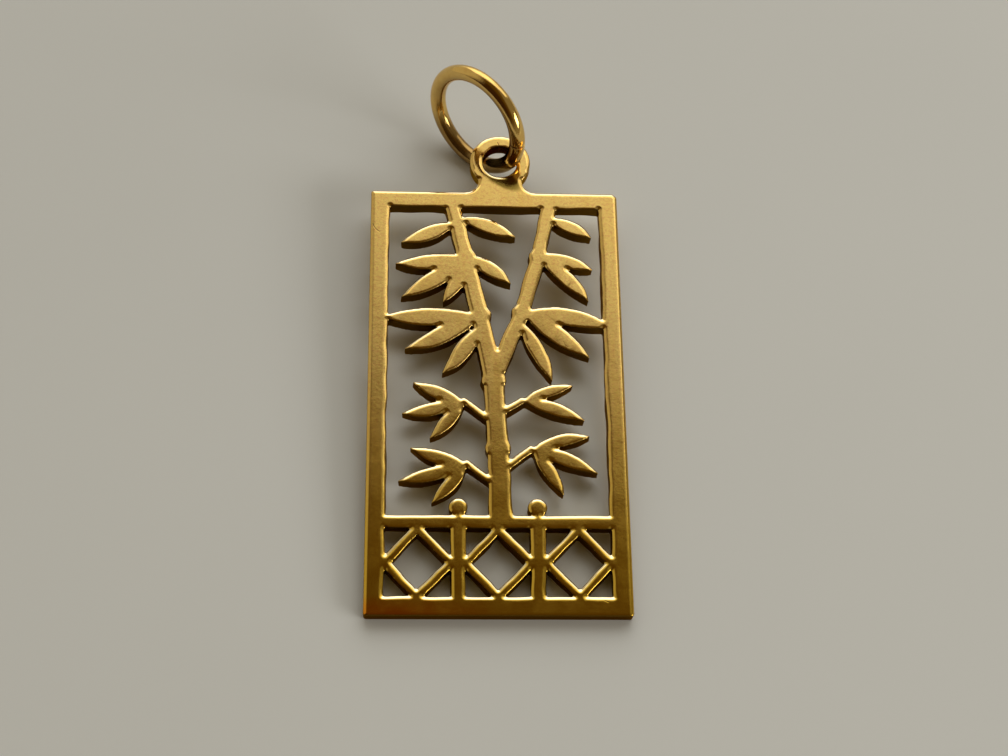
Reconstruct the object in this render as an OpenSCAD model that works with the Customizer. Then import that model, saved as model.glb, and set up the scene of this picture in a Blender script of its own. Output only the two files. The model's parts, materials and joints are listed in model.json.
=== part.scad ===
// Flat rectangular pendant sawn from gold sheet: a plain frame around an openwork of bamboo
// over a lattice rail, an eyelet on its top edge and a round-wire jump ring through the eyelet.
// It lies on its back: the plate's lowest edge and the jump ring both touch the plane z = 0,
// and the origin is below the middle of its bounding box.

/* [Plate] */
// Width of the frame
plate_w = 14; // [13.5:0.5:14.5]
// Height of the frame, without the eyelet
plate_h = 25; // [25:0.5:26]
// Thickness of the gold sheet
sheet_t = 0.8; // [0.7:0.05:0.8]
// Width of the frame's bars
bar_w = 1.05; // [0.95:0.05:1.15]

/* [Bamboo] */
// Width of the main stem at its foot
stem_foot_w = 1.25; // [1.1:0.05:1.4]
// Width of a stem where it meets the top bar
stem_top_w = 0.85; // [0.75:0.05:1]
// How far a stem's knots stand out on each side
knot_rise = 0.14; // [0.08:0.01:0.18]
// Width of the twigs that carry the low leaves
twig_w = 0.42; // [0.36:0.01:0.5]
// Scale of the leaves' widths
leaf_fullness = 1; // [0.85:0.05:1.1]

/* [Rail] */
// Height of the hand rail's lower edge above the plate's bottom edge
rail_y = 4.75; // [4.5:0.05:5]
// Width of the hand rail
rail_w = 0.75; // [0.65:0.05:0.85]
// Width of the rail's posts
post_w = 0.8; // [0.7:0.05:0.9]
// Width of the lattice bars
lattice_w = 0.5; // [0.42:0.02:0.58]

/* [Eyelet] */
// Outer diameter of the eyelet
eyelet_d = 3.46; // [3.4:0.02:3.5]
// Diameter of its hole
eyelet_hole_d = 1.98; // [1.98:0.02:2.04]
// Height of its centre above the frame's top edge
eyelet_rise = 2; // [1.95:0.05:2.05]
// Distance of its centre to the right of the plate's middle
eyelet_shift = 0.35; // [0:0.05:0.5]
// Width of the neck below the eyelet, at its narrowest
neck_w = 2.5; // [2.4:0.05:2.6]

/* [Jump ring] */
// Diameter of the wire
wire_d = 0.9; // [0.85:0.01:0.9]
// Inner diameter of the ring
ring_bore = 5.1; // [5.1:0.05:5.2]
// Slope of the ring's plane above the floor
ring_slope = 79; // [78.5:0.5:79.5]
// Heading of the ring, from its lowest point towards the eyelet
ring_heading = -43; // [-44:0.5:-42]
// Where the wire passes through the eyelet, right of the hole's centre
pass_x = 0.19; // [0.18:0.01:0.2]
// Lift of the plate's top end, which leans on the wire that passes under the eyelet
plate_tilt = 2.68; // [2.67:0.01:2.71]

/* [Hidden] */
$fn = 96;

gold_satin = "#c9a04e";
gold_polished = "#c08a2c";

// How far a bar, post or leaf runs into the metal that it joins
join = 0.3;
window_x = plate_w / 2 - bar_w;
window_top = plate_h - bar_w;
top_knot_y = plate_h - 0.6;
eyelet_centre = [eyelet_shift, plate_h + eyelet_rise];

// Distance along the stem from a knot's middle to its ridge's edge, and to where its flare ends
ridge = 0.08;
flare = 0.42;

// Knots of the main stem and of its branch: [x, y, share of the way from foot width to top width]
stem_knots = [
    [ 0.20,  5.2, 0.00],
    [ 0.05,  9.3, 0.20],
    [-0.15, 13.3, 0.40],
    [-0.85, 17.2, 0.60],
    [-1.65, 20.8, 0.80],
    [-2.45, top_knot_y, 1.00]];
branch_knots = [
    [-0.20, 13.2, 0.80],
    [ 1.45, 17.4, 0.90],
    [ 2.45, 20.9, 0.95],
    [ 3.15, top_knot_y, 1.00]];

// Twigs: [start x, start y, end x, end y]
twigs = [
    [-0.10, 10.7, -1.75, 12.0],
    [ 0.00,  7.2, -1.65,  8.4],
    [ 0.05,  7.9,  1.85,  9.3],
    [-0.10, 11.1,  1.35, 12.1]];

// Leaves: [base x, base y, direction in degrees, length, width]
leaves = [
    // left of the main stem, from the top down
    [-2.10, 23.1, 204, 3.5, 0.95],
    [-1.65, 20.9, 188, 4.0, 1.00],
    [-1.55, 20.8, 214, 4.5, 1.10],
    [-1.55, 20.5, 241, 2.9, 0.90],
    [-0.85, 17.3, 182, 5.6, 1.15],
    [-0.85, 17.2, 207, 4.7, 1.10],
    [-0.75, 16.8, 235, 3.9, 1.00],
    // between the main stem and the branch
    [-2.10, 23.3, 340, 3.5, 0.95],
    [-1.65, 20.9, 325, 3.1, 0.95],
    // right of the branch
    [ 2.90, 23.4, 333, 2.9, 0.85],
    [ 2.45, 21.0, 343, 3.2, 0.90],
    [ 2.45, 20.9, 315, 3.9, 1.00],
    [ 1.45, 17.4, 351, 5.2, 1.15],
    [ 1.45, 17.3, 324, 4.6, 1.10],
    [ 1.25, 16.9, 296, 4.1, 0.95],
    // on the low twigs
    [-1.75, 12.0, 158, 3.0, 0.80],
    [-1.75, 12.0, 192, 3.5, 0.85],
    [-1.75, 12.0, 229, 2.9, 0.80],
    [-1.65,  8.4, 163, 3.2, 0.80],
    [-1.65,  8.4, 196, 3.8, 0.85],
    [-1.65,  8.4, 230, 2.9, 0.75],
    [ 1.35, 12.1,  17, 3.0, 0.75],
    [ 1.35, 12.1, 341, 3.6, 0.85],
    [ 1.85,  9.3,  13, 3.3, 0.80],
    [ 1.85,  9.3, 338, 3.8, 0.90],
    [ 1.85,  9.3, 302, 3.2, 0.80]];

// Middles of the rail's two posts, and the diameter and height of the finial on each
post_x = [-2.1, 2.1];
finial_d = 1;
finial_rise = 0.45;

// Radius that blends the neck into the frame's top edge
neck_flare_r = 0.75;

ring_r = (ring_bore + wire_d) / 2;
wire_r = wire_d / 2;

function mix(a, b, share) = a + (b - a) * share;
function stem_width(knot) = mix(stem_foot_w, stem_top_w, knot[2]);
function place(row) = [row[0], row[1]];
function arc_radius(chord, bulge) = (chord * chord / 4 + bulge * bulge) / (2 * bulge);

// A leaf with its base at the origin and its tip on the x axis, from a full arc and a flatter one
module leaf_outline(length, width) {
    full = 0.62 * width * leaf_fullness;
    flat = 0.38 * width * leaf_fullness;
    intersection() {
        translate([length / 2, full - arc_radius(length, full)]) circle(r = arc_radius(length, full));
        translate([length / 2, arc_radius(length, flat) - flat]) circle(r = arc_radius(length, flat));
    }
}

// A bar between two points
module bar_outline(p, q, w) {
    along = (q - p) / norm(q - p);
    half = [-along[1], along[0]] * w / 2;
    polygon([p + half, p - half, q - half, q + half]);
}

// One side of the length of bamboo that ends at knot i, with a flare at both ends
function length_side(knots, i, side) =
    let (p = place(knots[i - 1]), q = place(knots[i]), along = (q - p) / norm(q - p),
         out = side * [-along[1], along[0]], half_p = stem_width(knots[i - 1]) / 2, half_q = stem_width(knots[i]) / 2)
        [p + ridge * along + (half_p + knot_rise) * out, p + flare * along + half_p * out,
         q - flare * along + half_q * out, q - ridge * along + (half_q + knot_rise) * out];

function stem_side(knots, side) = [for (i = [1 : len(knots) - 1]) each length_side(knots, i, side)];

module stem_outline(knots) {
    left = stem_side(knots, 1);
    right = stem_side(knots, -1);
    polygon(concat(right, [for (i = [len(left) - 1 : -1 : 0]) left[i]]));
}

module bamboo_outline() {
    stem_outline(stem_knots);
    stem_outline(branch_knots);
    for (twig = twigs) {
        bar_outline(place(twig), [twig[2], twig[3]], twig_w);
        translate([twig[2], twig[3]]) circle(d = twig_w);
    }
    for (leaf = leaves)
        translate(place(leaf)) rotate(leaf[2]) leaf_outline(leaf[3], leaf[4]);
}

// Four bars between the middles of a panel's sides
module diamond_outline(x_0, x_1, y_0, y_1) {
    corners = [[x_0, (y_0 + y_1) / 2], [(x_0 + x_1) / 2, y_1], [x_1, (y_0 + y_1) / 2], [(x_0 + x_1) / 2, y_0]];
    for (i = [0 : 3])
        bar_outline(corners[i], corners[(i + 1) % 4], lattice_w);
}

module rail_outline() {
    rail_top = rail_y + rail_w;
    sides = concat([-window_x], [for (x = post_x, side = [-1, 1]) x + side * post_w / 2], [window_x]);
    translate([-window_x - join, rail_y]) square([2 * (window_x + join), rail_w]);
    for (x = post_x) {
        translate([x - post_w / 2, bar_w - join]) square([post_w, rail_y - bar_w + 2 * join]);
        translate([x, rail_top + finial_rise]) circle(d = finial_d);
        translate([x - post_w / 4, rail_y]) square([post_w / 2, rail_w + finial_rise]);
    }
    for (i = [0 : 2 : len(sides) - 1])
        diamond_outline(sides[i], sides[i + 1], bar_w, rail_y);
}

module frame_outline() {
    difference() {
        translate([-plate_w / 2, 0]) square([plate_w, plate_h]);
        translate([-window_x, bar_w]) square([2 * window_x, window_top - bar_w]);
    }
}

module eyelet_outline() {
    translate([eyelet_shift, plate_h])
        difference() {
            translate([-neck_w / 2 - neck_flare_r, -join]) square([neck_w + 2 * neck_flare_r, neck_flare_r + join]);
            for (side = [-1, 1])
                translate([side * (neck_w / 2 + neck_flare_r), neck_flare_r]) circle(r = neck_flare_r);
        }
    translate([eyelet_shift - neck_w / 2, plate_h]) square([neck_w, eyelet_rise - eyelet_hole_d / 2]);
    translate(eyelet_centre) circle(d = eyelet_d);
}

// A point of the sheet, given in the plate's own flat frame, where it lies once the plate is tilted
function tilted(point, height) = [point[0],
    point[1] * cos(plate_tilt) - height * sin(plate_tilt),
    point[1] * sin(plate_tilt) + height * cos(plate_tilt)];

// Where the wire's middle passes through the hole, and how far round the ring that is from its lowest point
pass = tilted(eyelet_centre + [pass_x, 0], sheet_t / 2);
pass_angle = acos(1 - (pass[2] - wire_r) / (ring_r * sin(ring_slope)));

// Unit vectors in the ring's plane: level, and up the slope
ring_level = [cos(ring_heading), sin(ring_heading), 0];
ring_up = [-sin(ring_heading) * cos(ring_slope), cos(ring_heading) * cos(ring_slope), sin(ring_slope)];
ring_centre = pass - ring_r * sin(pass_angle) * ring_level + ring_r * cos(pass_angle) * ring_up;

// The lowest and highest y of the whole, which the origin lies between
y_low = tilted([0, 0], sheet_t)[1];
y_high = ring_centre[1] + ring_r * norm([ring_level[1], ring_up[1]]) + wire_r;

module from_origin() {
    translate([0, -(y_low + y_high) / 2, 0]) children();
}

module pierced_plate() {
    color(gold_satin) from_origin() rotate([plate_tilt, 0, 0]) linear_extrude(height = sheet_t)
        difference() {
            union() {
                frame_outline();
                eyelet_outline();
                bamboo_outline();
                rail_outline();
            }
            translate(eyelet_centre) circle(d = eyelet_hole_d);
        }
}

module jump_ring() {
    color(gold_polished) from_origin() translate(ring_centre)
        rotate([0, 0, ring_heading]) rotate([ring_slope, 0, 0])
            rotate_extrude() translate([ring_r, 0]) circle(r = wire_r);
}

pierced_plate();
jump_ring();
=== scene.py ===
"""A gold pendant, lying on a pale floor: a sawn plate with an openwork of bamboo, and a jump ring.

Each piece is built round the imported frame, by one operator, in the units of the frame (metres).
The pieces are shaped in millimetres, flat on their backs, and laid in place when they are done.
"""

import json
import math

import bpy
from mathutils import Matrix, Vector


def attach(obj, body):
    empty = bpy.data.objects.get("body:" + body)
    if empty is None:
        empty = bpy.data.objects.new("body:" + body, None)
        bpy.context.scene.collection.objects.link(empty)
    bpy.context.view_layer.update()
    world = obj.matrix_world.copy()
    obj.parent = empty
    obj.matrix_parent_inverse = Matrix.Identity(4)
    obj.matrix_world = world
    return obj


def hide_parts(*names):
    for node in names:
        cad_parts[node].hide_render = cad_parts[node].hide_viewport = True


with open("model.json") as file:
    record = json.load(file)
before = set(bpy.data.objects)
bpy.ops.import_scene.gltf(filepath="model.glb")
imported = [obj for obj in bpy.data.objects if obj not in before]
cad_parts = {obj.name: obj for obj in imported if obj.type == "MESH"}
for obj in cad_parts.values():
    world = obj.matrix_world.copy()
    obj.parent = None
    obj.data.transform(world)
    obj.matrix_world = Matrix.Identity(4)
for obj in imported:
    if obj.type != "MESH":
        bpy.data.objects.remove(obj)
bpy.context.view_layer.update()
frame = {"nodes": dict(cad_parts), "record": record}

bl_info = {
    "name": "Gold bamboo pendant",
    "version": (1, 0, 0),
    "blender": (4, 5, 0),
    "location": "View3D > Sidebar > Pendant",
    "description": "Builds the plate, the jump ring and the stage of a gold pendant",
    "category": "Object",
}

MM = 0.001
BODY = "root"
PLATE_NODE = "pierced_plate"
RING_NODE = "jump_ring"

# Points nearer than this are one, in millimetres
MERGE_DISTANCE = 0.0005

# Parts of a face's normal on the CAD's plate: z is above the first on its front and within the second of level on
# a wall, and y is below the third where the face looks down the plate
MOSTLY_UP = 0.9
MOSTLY_LEVEL = 0.5
DOWN_THE_PLATE = -0.3

# The top of the frame, the eyelet's middle and the radius of its hole, in the plate's own flat millimetres
FRAME_TOP = 25.0
EYELET = (0.35, 27.0)
HOLE_RADIUS = 0.99

# Each outer corner of the frame, as its side and its end, and how much of its point is gone, in millimetres
CORNER_CUTS = ((1, 1, 0.16), (-1, 1, 0.05), (1, 0, 0.07), (-1, 0, 0.06))

# How far inside the frame's outline the saw's wander starts, and how long its waves are in each direction
SAW_MARGIN = 0.45
SAW_WAVES = (("X", 1.6), ("Y", 2.1))

# Sides of the ring's wire, its steps round, the bevel of its cut ends and the angles that part those from its side
WIRE_SIDES = 32
RING_STEPS = 160
END_BEVEL = 0.02
END_ANGLE = math.radians(50)
SHARP_ANGLE = math.radians(40)


# Places and sizes read from the frame

def mount(name):
    return next(m for m in frame["record"]["mounts"] if m["name"] == name)


def node_corners(node, matrix):
    """Lowest and highest corner of a CAD node once its points are moved by a matrix."""
    points = [matrix @ v.co for v in frame["nodes"][node].data.vertices]
    return (Vector([min(p[i] for p in points) for i in range(3)]),
            Vector([max(p[i] for p in points) for i in range(3)]))


def plate_place():
    """The matrix from the plate's own flat frame, in millimetres, to where it lies."""
    face = Vector()
    for polygon in frame["nodes"][PLATE_NODE].data.polygons:
        if polygon.normal.z > MOSTLY_UP:
            face += polygon.normal * polygon.area
    lean = Matrix.Rotation(math.atan2(-face.y, face.z), 4, "X")
    low, _high = node_corners(PLATE_NODE, lean.inverted())
    return lean @ Matrix.Translation((0, low.y, low.z)) @ Matrix.Scale(MM, 4)


def ring_place():
    """The matrix from the ring's own frame, in millimetres with its axis upright, to where it stands."""
    loop = mount("chain_loop")
    axis = Vector(loop["axis"]).normalized()
    lowest = (Vector((0, 0, -1)) + axis * axis.z).normalized()
    level = axis.cross(lowest)
    turn = Matrix((lowest, level, axis)).transposed().to_4x4()
    return Matrix.Translation(Vector(loop["pos_m"])) @ turn @ Matrix.Scale(MM, 4)


PLATE_PLACE = plate_place()
RING_PLACE = ring_place()
_low, plate_high = node_corners(PLATE_NODE, PLATE_PLACE.inverted())
_low, ring_high = node_corners(RING_NODE, RING_PLACE.inverted())
SHEET = plate_high.z
HALF_WIDTH = plate_high.x
WIRE_RADIUS = ring_high.z
RING_RADIUS = ring_high.x - WIRE_RADIUS


class PlateSettings(bpy.types.PropertyGroup):
    """Sizes of the plate's finish, in millimetres."""
    grain: bpy.props.FloatProperty(
        name="Grain", description="Edge of the cells that the plate is remeshed in", default=0.05, min=0.04)
    rounding: bpy.props.IntProperty(
        name="Rounding", description="How many times the sawn edges are rubbed down", default=5, min=0)
    slope_width: bpy.props.FloatProperty(
        name="Slope's width", description="Width of the slope worn on the front's edges",
        default=0.18, min=0.01)
    slope_drop: bpy.props.FloatProperty(
        name="Slope's drop", description="How far that slope falls towards the edge", default=0.075, min=0)
    kept_share: bpy.props.FloatProperty(
        name="Kept share", description="Share of the mesh's triangles that is kept",
        subtype="FACTOR", default=0.28, min=0.05, max=1)
    saw_wander: bpy.props.FloatProperty(
        name="Saw wander", description="How far the saw strays from its line", default=0.16, min=0)
    colour: bpy.props.FloatVectorProperty(
        name="Gold", description="Colour of the satin gold", subtype="COLOR", default=(0.80, 0.555, 0.165))
    # Painted shade on the sawn walls
    wall_shade_colour: bpy.props.FloatVectorProperty(
        name="Walls", description="Colour of the dull sawn walls", subtype="COLOR", default=(0.085, 0.045, 0.012))
    # Painted highlight on the edges that face up the plate, towards the lamps
    edge_highlight_colour: bpy.props.FloatVectorProperty(
        name="Edges", description="Colour of the bright worn edges", subtype="COLOR", default=(0.98, 0.86, 0.58))
    tarnish: bpy.props.FloatVectorProperty(
        name="Tarnish", description="Colour of the reddish tarnish", subtype="COLOR", default=(0.80, 0.24, 0.01))


class RingSettings(bpy.types.PropertyGroup):
    """Sizes of the jump ring, in millimetres."""
    joint_gap: bpy.props.FloatProperty(
        name="Joint", description="Gap between the wire's two ends", default=0.04, min=0.01)
    joint_turn: bpy.props.FloatProperty(
        name="Joint's place", description="How far round from the ring's lowest point its joint is",
        subtype="ANGLE", default=math.radians(100))
    colour: bpy.props.FloatVectorProperty(
        name="Gold", description="Colour of the polished gold", subtype="COLOR", default=(0.80, 0.53, 0.16))


class StageSettings(bpy.types.PropertyGroup):
    """The floor, the room, the lamps and the camera."""
    floor_size: bpy.props.FloatProperty(
        name="Floor", description="Width of the floor", default=1.2, unit="LENGTH")
    floor_colour: bpy.props.FloatVectorProperty(
        name="Floor colour", description="Colour of the floor", subtype="COLOR", default=(0.80, 0.82, 0.815))
    above_colour: bpy.props.FloatVectorProperty(
        name="Overhead", description="Colour of the dim room overhead", subtype="COLOR",
        default=(0.098, 0.056, 0.005))
    around_colour: bpy.props.FloatVectorProperty(
        name="Around", description="Colour of the room around", subtype="COLOR", default=(0.24, 0.21, 0.15))
    bright_colour: bpy.props.FloatVectorProperty(
        name="Bright side", description="Colour of the room's bright side", subtype="COLOR",
        default=(0.91, 0.88, 0.80))
    bright_heading: bpy.props.FloatProperty(
        name="Bright side's heading",
        description="How far the bright side is turned to the right of straight ahead",
        subtype="ANGLE", default=math.radians(13))
    dark_colour: bpy.props.FloatVectorProperty(
        name="Dark side", description="Colour of the room's dark side", subtype="COLOR",
        default=(0.04, 0.018, 0.006))
    dark_side: bpy.props.FloatVectorProperty(
        name="Dark side's place", description="Direction of the room's dark side, near left and half way up",
        subtype="DIRECTION", default=(-0.684, -0.580, 0.442))
    pale_colour: bpy.props.FloatVectorProperty(
        name="Pale side", description="Colour of the room's pale side", subtype="COLOR",
        default=(0.50, 0.46, 0.36))
    pale_side: bpy.props.FloatVectorProperty(
        name="Pale side's place", description="Direction of the room's pale side, far left and low",
        subtype="DIRECTION", default=(-0.830, 0.470, 0.300))
    window_power: bpy.props.FloatProperty(
        name="Window", description="Power of the lamp on the far right", default=0.80, unit="POWER")
    low_window_power: bpy.props.FloatProperty(
        name="Low window", description="Power of the small low lamp on the near right", default=0.56, unit="POWER")
    lens: bpy.props.FloatProperty(
        name="Lens", description="The camera's focal length, in millimetres", default=64.29)


def select_only(obj):
    """Leaves one object selected and active, in object mode."""
    if bpy.context.object and bpy.context.object.mode != "OBJECT":
        bpy.ops.object.mode_set(mode="OBJECT")
    bpy.ops.object.select_all(action="DESELECT")
    obj.select_set(True)
    bpy.context.view_layer.objects.active = obj


def edit(obj, mode="VERT"):
    """Opens an object in edit mode with nothing selected."""
    select_only(obj)
    bpy.ops.object.mode_set(mode="EDIT")
    bpy.ops.mesh.select_mode(type=mode)
    bpy.ops.mesh.select_all(action="DESELECT")


def edit_selected(obj, mode):
    """Opens an object in edit mode with what is marked as selected in its mesh."""
    select_only(obj)
    bpy.context.tool_settings.mesh_select_mode = (mode == "VERT", mode == "EDGE", mode == "FACE")
    bpy.ops.object.mode_set(mode="EDIT")


def close_edit():
    bpy.ops.object.mode_set(mode="OBJECT")


def apply_modifier(obj, kind, **settings):
    """Adds a modifier with these settings and applies it."""
    select_only(obj)
    modifier = obj.modifiers.new(kind.title(), kind)
    for name, value in settings.items():
        setattr(modifier, name, value)
    bpy.ops.object.modifier_apply(modifier=modifier.name)


def lay_in_place(obj, matrix):
    """Moves a finished piece by a matrix and makes that its mesh's own place."""
    select_only(obj)
    obj.matrix_world = matrix
    bpy.ops.object.transform_apply(location=True, rotation=True, scale=True)


def cloud(name, size):
    """A soft noise whose lumps are about this many millimetres across."""
    texture = bpy.data.textures.new(name, "CLOUDS")
    texture.noise_scale = size
    texture.noise_depth = 1
    return texture


class PENDANT_OT_plate(bpy.types.Operator):
    """Make the sawn gold plate, with worn edges"""
    bl_idname = "pendant.make_plate"
    bl_label = "Gold plate"

    def execute(self, context):
        settings = context.scene.pendant_plate
        node = frame["nodes"][PLATE_NODE]
        plate = bpy.data.objects.new("gold_plate", node.data.copy())
        context.scene.collection.objects.link(plate)
        lay_in_place(plate, PLATE_PLACE.inverted())
        edit(plate)
        bpy.ops.mesh.select_all(action="SELECT")
        bpy.ops.mesh.remove_doubles(threshold=MERGE_DISTANCE)
        close_edit()
        self.clip_corners(plate)
        rims = self.upper_rims(plate)
        apply_modifier(plate, "REMESH", mode="VOXEL", voxel_size=settings.grain)
        self.slope_edges(plate, rims, settings)
        self.let_saw_wander(plate, settings.saw_wander)
        apply_modifier(plate, "SMOOTH", factor=0.5, iterations=settings.rounding)
        apply_modifier(plate, "DECIMATE", decimate_type="COLLAPSE", ratio=settings.kept_share)
        lay_in_place(plate, PLATE_PLACE)
        select_only(plate)
        bpy.ops.object.shade_smooth()
        apply_modifier(plate, "WEIGHTED_NORMAL", weight=50, keep_sharp=False)
        plate.data.materials.clear()
        plate.data.materials.append(satin_gold(settings))
        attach(plate, BODY)
        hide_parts(PLATE_NODE)
        return {"FINISHED"}

    def clip_corners(self, plate):
        """Takes the sharp point off each outer corner, most of all off the upper right one."""
        for x, y, cut in CORNER_CUTS:
            corner = Vector((x * HALF_WIDTH, y * FRAME_TOP, 0))
            outward = Vector((x, 1 if y else -1, 0)).normalized()
            edit(plate)
            bpy.ops.mesh.select_all(action="SELECT")
            bpy.ops.mesh.bisect(plane_co=corner - outward * cut, plane_no=outward, use_fill=True, clear_outer=True)
            close_edit()

    def upper_rims(self, plate):
        """A copy of the front's edges, but for those that face down the plate, to measure from."""
        select_only(plate)
        bpy.ops.object.duplicate()
        rims = bpy.context.object
        edit(rims, "FACE")
        close_edit()
        for polygon in rims.data.polygons:
            polygon.select = polygon.normal.y < DOWN_THE_PLATE or abs(polygon.normal.z) > MOSTLY_LEVEL
        edit_selected(rims, "FACE")
        bpy.ops.mesh.delete(type="FACE")
        close_edit()
        for vertex in rims.data.vertices:
            vertex.select = vertex.co.z < SHEET / 2
        edit_selected(rims, "VERT")
        bpy.ops.mesh.delete(type="VERT")
        close_edit()
        return rims

    def slope_edges(self, plate, rims, settings):
        """Wears a slope on the edges near the rims, then takes the rims away."""
        near = plate.vertex_groups.new(name="near")
        near.add(range(len(plate.data.vertices)), 1.0, "REPLACE")
        apply_modifier(plate, "VERTEX_WEIGHT_PROXIMITY", vertex_group="near", target=rims,
                       proximity_mode="GEOMETRY", proximity_geometry={"EDGE"},
                       min_dist=settings.slope_width, max_dist=0.0)
        apply_modifier(plate, "DISPLACE", direction="Z", strength=-settings.slope_drop, mid_level=0.0,
                       vertex_group="near")
        plate.vertex_groups.clear()
        bpy.data.objects.remove(rims)

    def let_saw_wander(self, plate, amount):
        """Makes the sawn inner edges stray a little from their lines, and leaves the frame's outside true."""
        inner = plate.vertex_groups.new(name="inner")
        inside = [v.index for v in plate.data.vertices
                  if abs(v.co.x) < HALF_WIDTH - SAW_MARGIN and SAW_MARGIN < v.co.y < FRAME_TOP - SAW_MARGIN]
        inner.add(inside, 1.0, "REPLACE")
        for direction, size in SAW_WAVES:
            apply_modifier(plate, "DISPLACE", texture=cloud("saw_" + direction, size), direction=direction,
                           strength=amount, mid_level=0.5, vertex_group="inner")
        plate.vertex_groups.clear()


class PENDANT_OT_ring(bpy.types.Operator):
    """Make the jump ring of round wire, with its butt joint"""
    bl_idname = "pendant.make_ring"
    bl_label = "Jump ring"

    def execute(self, context):
        settings = context.scene.pendant_ring
        bpy.ops.object.select_all(action="DESELECT")
        bpy.ops.mesh.primitive_circle_add(vertices=WIRE_SIDES, radius=WIRE_RADIUS, fill_type="NGON",
                                          location=(RING_RADIUS, 0, 0), rotation=(math.pi / 2, 0, 0))
        ring = context.object
        ring.name = "jump_ring_wire"
        bpy.ops.object.transform_apply(location=True, rotation=True, scale=True)
        edit(ring, "FACE")
        bpy.ops.mesh.select_all(action="SELECT")
        gap = settings.joint_gap / RING_RADIUS
        bpy.ops.mesh.spin(steps=RING_STEPS, angle=2 * math.pi - gap, center=(0, 0, 0), axis=(0, 0, 1))
        bpy.ops.mesh.select_all(action="SELECT")
        bpy.ops.mesh.remove_doubles(threshold=MERGE_DISTANCE)
        bpy.ops.mesh.normals_make_consistent(inside=False)
        close_edit()
        apply_modifier(ring, "BEVEL", width=END_BEVEL, segments=2, limit_method="ANGLE",
                       angle_limit=END_ANGLE)
        turn = Matrix.Rotation(settings.joint_turn, 4, "Z")
        lay_in_place(ring, RING_PLACE @ turn)
        select_only(ring)
        bpy.ops.object.shade_smooth_by_angle(angle=SHARP_ANGLE)
        ring.data.materials.append(polished_gold(settings))
        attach(ring, BODY)
        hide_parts(RING_NODE)
        return {"FINISHED"}


# Materials

def new_material(name):
    """A node material that holds one shader; returns the material, its tree and the shader."""
    material = bpy.data.materials.new(name)
    material.use_nodes = True
    tree = material.node_tree
    tree.nodes.clear()
    output = tree.nodes.new("ShaderNodeOutputMaterial")
    shader = tree.nodes.new("ShaderNodeBsdfPrincipled")
    tree.links.new(shader.outputs["BSDF"], output.inputs["Surface"])
    return material, tree, shader


def link(tree, source, target):
    tree.links.new(source, target)


def add_node(tree, kind, inputs=None, **settings):
    """Adds a node; an input given as a socket is linked, any other is set."""
    made = tree.nodes.new(kind)
    for name, value in settings.items():
        setattr(made, name, value)
    for name, value in (inputs or {}).items():
        if isinstance(value, bpy.types.NodeSocket):
            tree.links.new(value, made.inputs[name])
        else:
            made.inputs[name].default_value = value
    return made


def maths(tree, operation, *values):
    return add_node(tree, "ShaderNodeMath", dict(enumerate(values)), operation=operation).outputs[0]


def plus(tree, first, second):
    return maths(tree, "ADD", first, second)


def minus(tree, first, second):
    return maths(tree, "SUBTRACT", first, second)


def times(tree, first, second):
    return maths(tree, "MULTIPLY", first, second)


def distance(tree, x, y, middle=(0.0, 0.0), stretch=(1.0, 1.0)):
    """How far a point is from a middle, with each of the two directions counted at its own rate."""
    off_x = times(tree, minus(tree, x, middle[0]), stretch[0])
    off_y = times(tree, minus(tree, y, middle[1]), stretch[1])
    return maths(tree, "SQRT", plus(tree, maths(tree, "POWER", off_x, 2.0), maths(tree, "POWER", off_y, 2.0)))


def split_xyz(tree, vector):
    """The three parts of a vector."""
    return add_node(tree, "ShaderNodeSeparateXYZ", {"Vector": vector}).outputs


def likeness(tree, direction, other):
    """How alike two directions are: 1 where they agree, 0 where they are square to each other."""
    made = add_node(tree, "ShaderNodeVectorMath", {0: direction, 1: other}, operation="DOT_PRODUCT")
    return made.outputs["Value"]


def own_millimetres(tree, place):
    """The piece's own flat coordinates in millimetres, from its object coordinates."""
    back = place.inverted()
    coordinates = add_node(tree, "ShaderNodeTexCoord")
    mapping = add_node(tree, "ShaderNodeMapping", {
        "Vector": coordinates.outputs["Object"],
        "Location": back.to_translation(),
        "Rotation": back.to_euler(),
        "Scale": (1 / MM, 1 / MM, 1 / MM)})
    return mapping.outputs["Vector"]


def noise(tree, vector, scale, detail=2.0, roughness=0.5, stretch=None):
    """Noise whose scale is in lumps a millimetre; stretch scales the three directions apart."""
    if stretch:
        vector = add_node(tree, "ShaderNodeMapping", {"Vector": vector, "Scale": stretch}).outputs["Vector"]
    made = add_node(tree, "ShaderNodeTexNoise",
                    {"Vector": vector, "Scale": scale, "Detail": detail, "Roughness": roughness})
    return made.outputs[0]


def remap(tree, value, from_low, from_high, to_low, to_high, smooth=True):
    made = add_node(tree, "ShaderNodeMapRange", {
        "Value": value, "From Min": from_low, "From Max": from_high, "To Min": to_low, "To Max": to_high},
        interpolation_type="SMOOTHSTEP" if smooth else "LINEAR")
    return made.outputs["Result"]


def mix_colour(tree, share, first, second):
    made = add_node(tree, "ShaderNodeMix", data_type="RGBA")
    for socket, value in ((made.inputs["Factor"], share), (made.inputs[6], first), (made.inputs[7], second)):
        if isinstance(value, bpy.types.NodeSocket):
            tree.links.new(value, socket)
        else:
            socket.default_value = value
    return made.outputs[2]


def opaque(colour):
    return (*colour, 1.0)


def layered(tree, base, layers):
    """A colour with others laid over it, each by its own share."""
    for share, colour in layers:
        base = mix_colour(tree, share, base, opaque(colour))
    return base


# Scratches on the plate's front, in its own flat millimetres: start, end, how far it bows, half-width
SCRATCHES = (
    ((-6.88, 22.90), (-6.45, 22.28), -0.10, 0.038),
    ((-1.94, 23.12), (-1.54, 22.55), 0.0, 0.02),
    ((0.20, 28.26), (0.34, 27.95), 0.0, 0.04),
    ((5.47, 0.84), (5.70, 0.72), 0.0, 0.05),
)

# Where a scratch starts to run out, counted from its middle, as a share of its length
SCRATCH_FADE = (0.4, 0.5)
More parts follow.
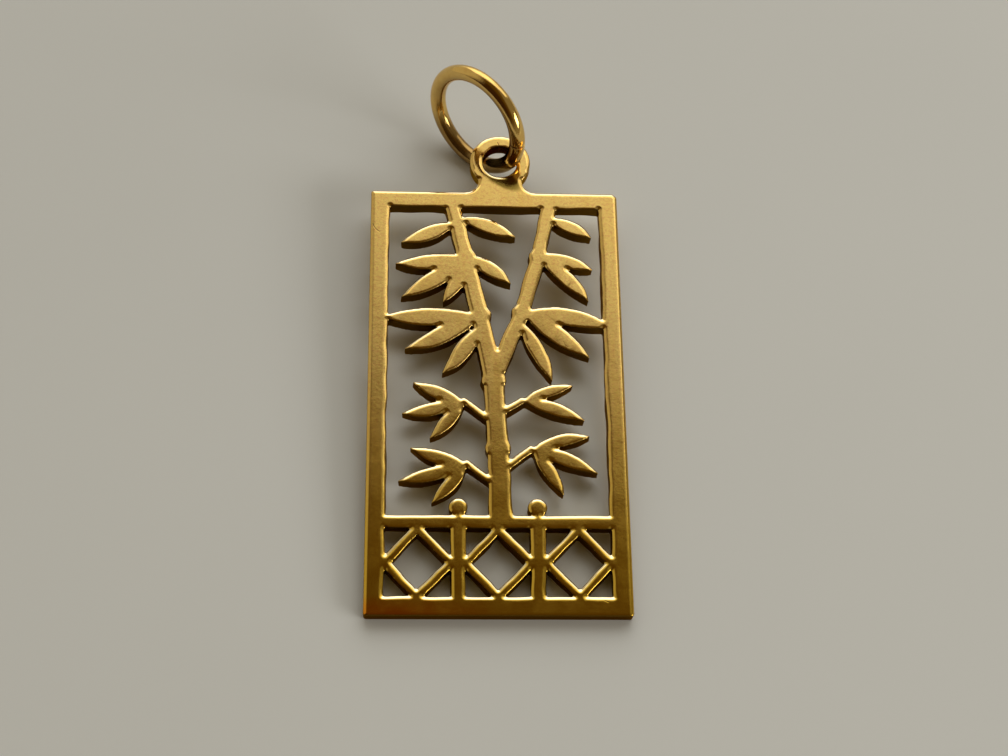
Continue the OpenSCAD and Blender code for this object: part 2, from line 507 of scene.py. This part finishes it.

# The tarnish spreads from here, counted at these rates; the painted shade that the ring casts on the neck also
# slants
TARNISH_MIDDLE = (-5.4, 0.15)
TARNISH_RATES = (0.22, 1.3)
NECK_MIDDLE = (EYELET[0] + 0.1, EYELET[1] - 1.15)
NECK_RATES = (0.55, 1.0)
NECK_SLANT = 0.5

# Noises of the plate: lumps to a millimetre, detail, roughness, and how each direction is stretched
MOTTLE = (0.9, 4.0, 0.6)
HAZE = (1.6, 3.0, 0.5, (1.0, 0.15, 1.0))
GRAIN = (6.5, 4.0, 0.75)
SPECKLE = (6.0, 3.0, 0.8)

# Ramps of the plate's masks: where each begins, where it ends, and its value before and after
WALL_RAMP = (0.30, 0.66, 1.0, 0.0)
EDGE_FACING_RAMP = (0.1, 0.3, 0.0, 1.0)
EDGE_UPWARD_RAMP = (0.5, 0.8, 0.0, 1.0)
HOLE_RAMP = (HOLE_RADIUS + 0.02, HOLE_RADIUS + 0.12, 1.0, 0.0)
EYELET_RAMP = (1.9, 2.4, 1.0, 0.0)
NECK_RAMP = (0.46, 0.68, 0.92, 0.0)
TARNISH_RAMP = (0.5, 2.1, 1.0, 0.0)
HAZE_RAMP = (0.4, 0.75, 0.0, 0.3)
SPECKLE_RAMP = (0.47, 0.62, 0.0, 0.6)
LOWER_RAMP = (15.0, 1.0, 0.0, 0.75)
WALL_SHARE_RAMP = (24.9, 25.5, 0.9, 0.5)
SATIN_RAMP = (0.3, 0.75, 0.11, 0.17)

# Tones of the plate's wear and of its painted shade (towards the bottom, inside the hole and that the ring casts
# on the neck), and the tint of its shine at a glancing angle
HAZE_TONE = (0.70, 0.40, 0.07)
SPECKLE_TONE = (0.70, 0.38, 0.13)
LOWER_SHADE_TONE = (0.68, 0.42, 0.02)
HOLE_SHADE_TONE = (0.035, 0.018, 0.006)
NECK_SHADE_TONE = (0.26, 0.175, 0.03)
SCRATCH_TONE = (0.09, 0.04, 0.01)
GLANCING_TINT = (0.60, 0.40, 0.18)

# Shares of the plate's wear and of its painted edge highlight in its colour, its roughness and its height; the
# first is for facing up the plate
FACING_SHARE = 0.45
TARNISH_SPREAD = 1.4
TARNISH_SHARE = 0.9
SCRATCH_SHARE = 0.95
EDGE_HIGHLIGHT_SHARE = 0.9
WALL_ROUGHNESS = 0.2
RUBBED_SHINE = 0.06
MOTTLE_HEIGHT = 2.5
SCRATCH_HEIGHT = 2.5

# How far the whole of the height reaches, in millimetres
PLATE_RELIEF = 0.0025


def scratch(tree, place, line):
    """1 along a scratch and 0 off it: how near a point is to a line that bows to one side."""
    start, end, bow, half_width = line
    start, end = Vector(start), Vector(end)
    length = (end - start).length
    angle = math.atan2(end.y - start.y, end.x - start.x)
    turned = split_xyz(tree, add_node(tree, "ShaderNodeVectorRotate", {
        "Vector": place, "Center": (start.x, start.y, 0), "Angle": -angle},
        rotation_type="Z_AXIS").outputs["Vector"])
    along = maths(tree, "DIVIDE", minus(tree, turned["X"], start.x), length)
    arch = times(tree, times(tree, along, minus(tree, 1.0, along)), 4 * bow)
    off = maths(tree, "ABSOLUTE", minus(tree, minus(tree, turned["Y"], start.y), arch))
    across = remap(tree, off, 0.0, half_width, 1.0, 0.0)
    from_middle = maths(tree, "ABSOLUTE", minus(tree, along, 0.5))
    return times(tree, across, remap(tree, from_middle, *SCRATCH_FADE, 1.0, 0.0))


def scratches(tree, place):
    """1 along any of the scratches and 0 off them."""
    scored = scratch(tree, place, SCRATCHES[0])
    for line in SCRATCHES[1:]:
        scored = maths(tree, "MAXIMUM", scored, scratch(tree, place, line))
    return scored


def walls_and_edges(tree):
    """The share of sawn wall, which takes the painted shade, and the share of edge that faces up the plate, which
    takes the painted highlight, by the way that the surface faces.
    """
    facing = split_xyz(tree, add_node(tree, "ShaderNodeTexCoord").outputs["Normal"])
    upward = plus(tree, maths(tree, "ABSOLUTE", facing["Z"]), times(tree, facing["Y"], FACING_SHARE))
    edge = times(tree, remap(tree, facing["Y"], *EDGE_FACING_RAMP), remap(tree, upward, *EDGE_UPWARD_RAMP))
    return remap(tree, upward, *WALL_RAMP), edge


def satin_gold(settings):
    """Worn satin gold sheet: fine grain, faint mottling and tarnish, with painted shade on the sawn walls, inside
    the hole, on the neck and towards the bottom, and a painted highlight on the edges that face up the plate.
    """
    material, tree, shader = new_material("satin_gold")
    place = own_millimetres(tree, PLATE_PLACE)
    x, y, _z = split_xyz(tree, place)
    mottle, haze, grain, speckle = (noise(tree, place, *lumps) for lumps in (MOTTLE, HAZE, GRAIN, SPECKLE))
    scored = scratches(tree, place)
    wall, edge = walls_and_edges(tree)

    from_eyelet = distance(tree, x, y, EYELET)
    # Painted shade inside the eyelet's hole
    hole_shade = times(tree, remap(tree, from_eyelet, *HOLE_RAMP), wall)
    at_eyelet = remap(tree, from_eyelet, *EYELET_RAMP)
    # Painted shade that the ring casts on the neck below the eyelet
    slanted = plus(tree, y, times(tree, minus(tree, x, NECK_MIDDLE[0]), NECK_SLANT))
    neck = remap(tree, distance(tree, x, slanted, NECK_MIDDLE, NECK_RATES), *NECK_RAMP)
    far = plus(tree, distance(tree, x, y, TARNISH_MIDDLE, TARNISH_RATES), times(tree, mottle, TARNISH_SPREAD))
    tarnished = times(tree, remap(tree, far, *TARNISH_RAMP), minus(tree, 1.0, wall))

    gold = layered(tree, opaque(settings.colour), (
        (remap(tree, haze, *HAZE_RAMP), HAZE_TONE),
        (remap(tree, speckle, *SPECKLE_RAMP), SPECKLE_TONE),
        # Painted shade: the gold darkens towards the bottom of the plate
        (remap(tree, y, *LOWER_RAMP), LOWER_SHADE_TONE),
        # Painted shade on the sawn walls, less of it round the eyelet
        (times(tree, wall, remap(tree, y, *WALL_SHARE_RAMP)), settings.wall_shade_colour),
        # Painted shade inside the eyelet's hole
        (hole_shade, HOLE_SHADE_TONE),
        # Painted shade that the ring casts on the neck
        (neck, NECK_SHADE_TONE),
        (times(tree, tarnished, TARNISH_SHARE), settings.tarnish),
        (times(tree, scored, SCRATCH_SHARE), SCRATCH_TONE),
        # Painted highlight on the edges that face up the plate
        (times(tree, edge, EDGE_HIGHLIGHT_SHARE), settings.edge_highlight_colour)))
    link(tree, gold, shader.inputs["Base Color"])
    shader.inputs["Specular Tint"].default_value = opaque(GLANCING_TINT)
    shader.inputs["Metallic"].default_value = 1.0
    rough = plus(tree, remap(tree, mottle, *SATIN_RAMP), times(tree, wall, WALL_ROUGHNESS))
    rough = minus(tree, rough, times(tree, maths(tree, "MAXIMUM", edge, at_eyelet), RUBBED_SHINE))
    link(tree, rough, shader.inputs["Roughness"])
    height = plus(tree, grain, times(tree, mottle, MOTTLE_HEIGHT))
    height = minus(tree, height, times(tree, scored, SCRATCH_HEIGHT))
    bump = add_node(tree, "ShaderNodeBump", {"Strength": 1.0, "Distance": PLATE_RELIEF * MM, "Height": height})
    link(tree, bump.outputs["Normal"], shader.inputs["Normal"])
    return material


# Noises of the ring: lumps to a millimetre and detail, and the strength and reach of its fine relief
RING_MOTTLE = (2.0, 3.0)
RING_GRAIN = (12.0, 3.0)
RING_RELIEF_STRENGTH = 0.15
RING_RELIEF = 0.02

# Ramps of the ring's masks, in its own frame, where x grows towards its lowest point
RING_MOTTLE_RAMP = (0.4, 0.75, 0.0, 0.3)
INNER_RAMP = (RING_RADIUS - 0.5 * WIRE_RADIUS, RING_RADIUS + 0.5 * WIRE_RADIUS, 0.95, 0.0)
SIDE_RAMP = (-0.5 * RING_RADIUS, 0.5 * RING_RADIUS, 0.3, 1.0)
UPPER_RAMP = (-0.1 * RING_RADIUS, 0.3 * RING_RADIUS, 1.0, 0.0)
LOWEST_RAMP = (0.30 * RING_RADIUS, 0.75 * RING_RADIUS, 0.0, 0.75)
LOWEST_METAL_RAMP = (0.0, 1.0, 1.0, 0.75)
POLISH_RAMP = (0.3, 0.7, 0.06, 0.12)

# Tones of the ring's mottle, of the painted dark reflection inside its upper half, and of its darker lowest part
RING_MOTTLE_TONE = (0.62, 0.32, 0.07)
INNER_REFLECTION_TONE = (0.15, 0.055, 0.012)
LOWEST_TONE = (0.24, 0.135, 0.04)


def polished_gold(settings):
    """Polished gold wire, with a painted dark reflection inside its upper half, and darker and less metallic low
    down.
    """
    material, tree, shader = new_material("polished_gold")
    place = own_millimetres(tree, RING_PLACE)
    x, y, _z = split_xyz(tree, place)
    mottle = noise(tree, place, *RING_MOTTLE)
    inner = remap(tree, distance(tree, x, y), *INNER_RAMP)
    # Painted dark reflection on the inner side of the ring's upper half
    darkened = times(tree, inner, times(tree, remap(tree, y, *SIDE_RAMP), remap(tree, x, *UPPER_RAMP)))
    # Darker and less metallic towards the ring's lowest point
    lowest_part = remap(tree, x, *LOWEST_RAMP)
    gold = layered(tree, opaque(settings.colour), (
        (remap(tree, mottle, *RING_MOTTLE_RAMP), RING_MOTTLE_TONE),
        (darkened, INNER_REFLECTION_TONE),
        (lowest_part, LOWEST_TONE)))
    link(tree, gold, shader.inputs["Base Color"])
    link(tree, remap(tree, lowest_part, *LOWEST_METAL_RAMP, smooth=False), shader.inputs["Metallic"])
    link(tree, remap(tree, mottle, *POLISH_RAMP), shader.inputs["Roughness"])
    bump = add_node(tree, "ShaderNodeBump", {
        "Strength": RING_RELIEF_STRENGTH, "Distance": RING_RELIEF * MM, "Height": noise(tree, place, *RING_GRAIN)})
    link(tree, bump.outputs["Normal"], shader.inputs["Normal"])
    return material


# The share of the floor's colour left in its faint clouds, how many there are to a metre, and how rough it is
FLOOR_CLOUD_TONE = 0.95
FLOOR_CLOUDS = 40.0
FLOOR_ROUGHNESS = 0.9


def pale_floor(settings):
    """A plain, matt, pale floor."""
    material, tree, shader = new_material("pale_floor")
    coordinates = add_node(tree, "ShaderNodeTexCoord")
    cloudy = add_node(tree, "ShaderNodeTexNoise", {
        "Vector": coordinates.outputs["Object"], "Scale": FLOOR_CLOUDS})
    tone = mix_colour(tree, cloudy.outputs[0], opaque(settings.floor_colour),
                      opaque([c * FLOOR_CLOUD_TONE for c in settings.floor_colour]))
    link(tree, tone, shader.inputs["Base Color"])
    shader.inputs["Roughness"].default_value = FLOOR_ROUGHNESS
    return material


def area_lamp(name, place, aim, size, power, colour):
    """A rectangular soft lamp at a place, turned towards a point."""
    lamp = bpy.data.lights.new(name, "AREA")
    lamp.shape = "RECTANGLE"
    lamp.size, lamp.size_y = size
    lamp.energy = power
    lamp.color = colour
    holder = bpy.data.objects.new(name, lamp)
    holder.location = place
    holder.rotation_euler = (Vector(aim) - Vector(place)).to_track_quat("-Z", "Y").to_euler()
    bpy.context.scene.collection.objects.link(holder)


# Each lamp's place, the point that it is turned towards, and its width and height, in metres
WINDOW = ((0.13, 0.38, 0.29), (0, 0, 0), (0.70, 0.38))
LOW_WINDOW = ((0.336, -0.166, 0.14), (0, 0.012, 0.003), (0.23, 0.13))
DAYLIGHT = (1.0, 0.98, 0.93)

# Ramps of the room, by how alike a direction is to the one that each part of it lies in
OVERHEAD_RAMP = (0.45, 0.76, 0.0, 1.0)
OVERHEAD_ASIDE_RAMP = (0.15, 0.45, 1.0, 0.0)
BRIGHT_RAMP = (0.29, 0.475, 0.0, 1.0)
BRIGHT_ASIDE_RAMP = (0.25, 0.6, 1.0, 0.0)
SIDE_PATCH_RAMP = (0.62, 0.90, 0.0, 1.0)

# The camera's place in the plate's own flat frame, in millimetres, and its three turns in degrees
CAMERA_PLACE = (-4.898, -26.288, 89.457)
CAMERA_TURNS = (23.912, -3.080, -0.713)


class PENDANT_OT_stage(bpy.types.Operator):
    """Make the floor, the lamps and the camera"""
    bl_idname = "pendant.make_stage"
    bl_label = "Stage"

    def execute(self, context):
        settings = context.scene.pendant_stage
        bpy.ops.object.select_all(action="DESELECT")
        bpy.ops.mesh.primitive_plane_add(size=settings.floor_size, location=(0, 0, 0))
        floor = context.object
        floor.name = "floor"
        floor.data.materials.append(pale_floor(settings))
        area_lamp("window", *WINDOW, settings.window_power, DAYLIGHT)
        area_lamp("low_window", *LOW_WINDOW, settings.low_window_power, DAYLIGHT)
        context.scene.world = self.make_room(settings)
        context.scene.camera = self.make_camera(settings)
        context.scene.view_settings.view_transform = "Standard"
        return {"FINISHED"}

    def make_room(self, settings):
        """A room, bright on its far side, dim all round and overhead, with a dark side and a pale one."""
        world = bpy.data.worlds.new("room")
        world.use_nodes = True
        tree = world.node_tree
        direction = add_node(tree, "ShaderNodeTexCoord").outputs["Generated"]
        aside = split_xyz(tree, direction)["X"]
        towards_camera = (PLATE_PLACE @ Vector(CAMERA_PLACE)).normalized()
        overhead = times(tree, remap(tree, likeness(tree, direction, towards_camera), *OVERHEAD_RAMP),
                         remap(tree, aside, *OVERHEAD_ASIDE_RAMP))
        heading = (math.sin(settings.bright_heading), math.cos(settings.bright_heading), 0)
        bright = times(tree, remap(tree, likeness(tree, direction, heading), *BRIGHT_RAMP),
                       remap(tree, maths(tree, "ABSOLUTE", aside), *BRIGHT_ASIDE_RAMP))
        dark = remap(tree, likeness(tree, direction, settings.dark_side), *SIDE_PATCH_RAMP)
        pale = remap(tree, likeness(tree, direction, settings.pale_side), *SIDE_PATCH_RAMP)
        colour = layered(tree, opaque(settings.around_colour), (
            (overhead, settings.above_colour),
            (bright, settings.bright_colour),
            (dark, settings.dark_colour),
            (pale, settings.pale_colour)))
        link(tree, colour, tree.nodes["Background"].inputs["Color"])
        return world

    def make_camera(self, settings):
        """The camera, at the place and angle that the plate is seen from."""
        camera = bpy.data.cameras.new("camera")
        camera.lens = settings.lens
        camera.sensor_width = 36.0
        camera.clip_start = 0.001
        holder = bpy.data.objects.new("camera", camera)
        turn_x, turn_y, turn_z = (math.radians(a) for a in CAMERA_TURNS)
        turns = Matrix.Rotation(turn_z, 4, "Z") @ Matrix.Rotation(turn_y, 4, "Y") @ Matrix.Rotation(turn_x, 4, "X")
        lean = PLATE_PLACE.to_quaternion().to_matrix().to_4x4()
        above = Vector(CAMERA_PLACE) + Vector((0, 0, SHEET))
        holder.matrix_world = Matrix.Translation(PLATE_PLACE @ above) @ lean @ turns
        bpy.context.scene.collection.objects.link(holder)
        return holder


class PENDANT_PT_panel(bpy.types.Panel):
    """The pendant's sizes, colours and pieces"""
    bl_idname = "PENDANT_PT_panel"
    bl_label = "Pendant"
    bl_space_type = "VIEW_3D"
    bl_region_type = "UI"
    bl_category = "Pendant"

    def draw(self, context):
        for title, settings, operator in (
                ("Plate", context.scene.pendant_plate, PENDANT_OT_plate),
                ("Jump ring", context.scene.pendant_ring, PENDANT_OT_ring),
                ("Stage", context.scene.pendant_stage, PENDANT_OT_stage)):
            box = self.layout.box()
            box.label(text=title)
            for name in settings.bl_rna.properties.keys():
                if name not in ("rna_type", "name"):
                    box.prop(settings, name)
            box.operator(operator.bl_idname)


SETTINGS = {"pendant_plate": PlateSettings, "pendant_ring": RingSettings, "pendant_stage": StageSettings}
CLASSES = (*SETTINGS.values(), PENDANT_OT_plate, PENDANT_OT_ring, PENDANT_OT_stage, PENDANT_PT_panel)


def register():
    for cls in CLASSES:
        bpy.utils.register_class(cls)
    for name, group in SETTINGS.items():
        setattr(bpy.types.Scene, name, bpy.props.PointerProperty(type=group))


def unregister():
    for name in SETTINGS:
        delattr(bpy.types.Scene, name)
    for cls in reversed(CLASSES):
        bpy.utils.unregister_class(cls)


def main():
    register()
    bpy.ops.pendant.make_stage()
    bpy.ops.pendant.make_plate()
    bpy.ops.pendant.make_ring()


if __name__ == "__main__":
    main()
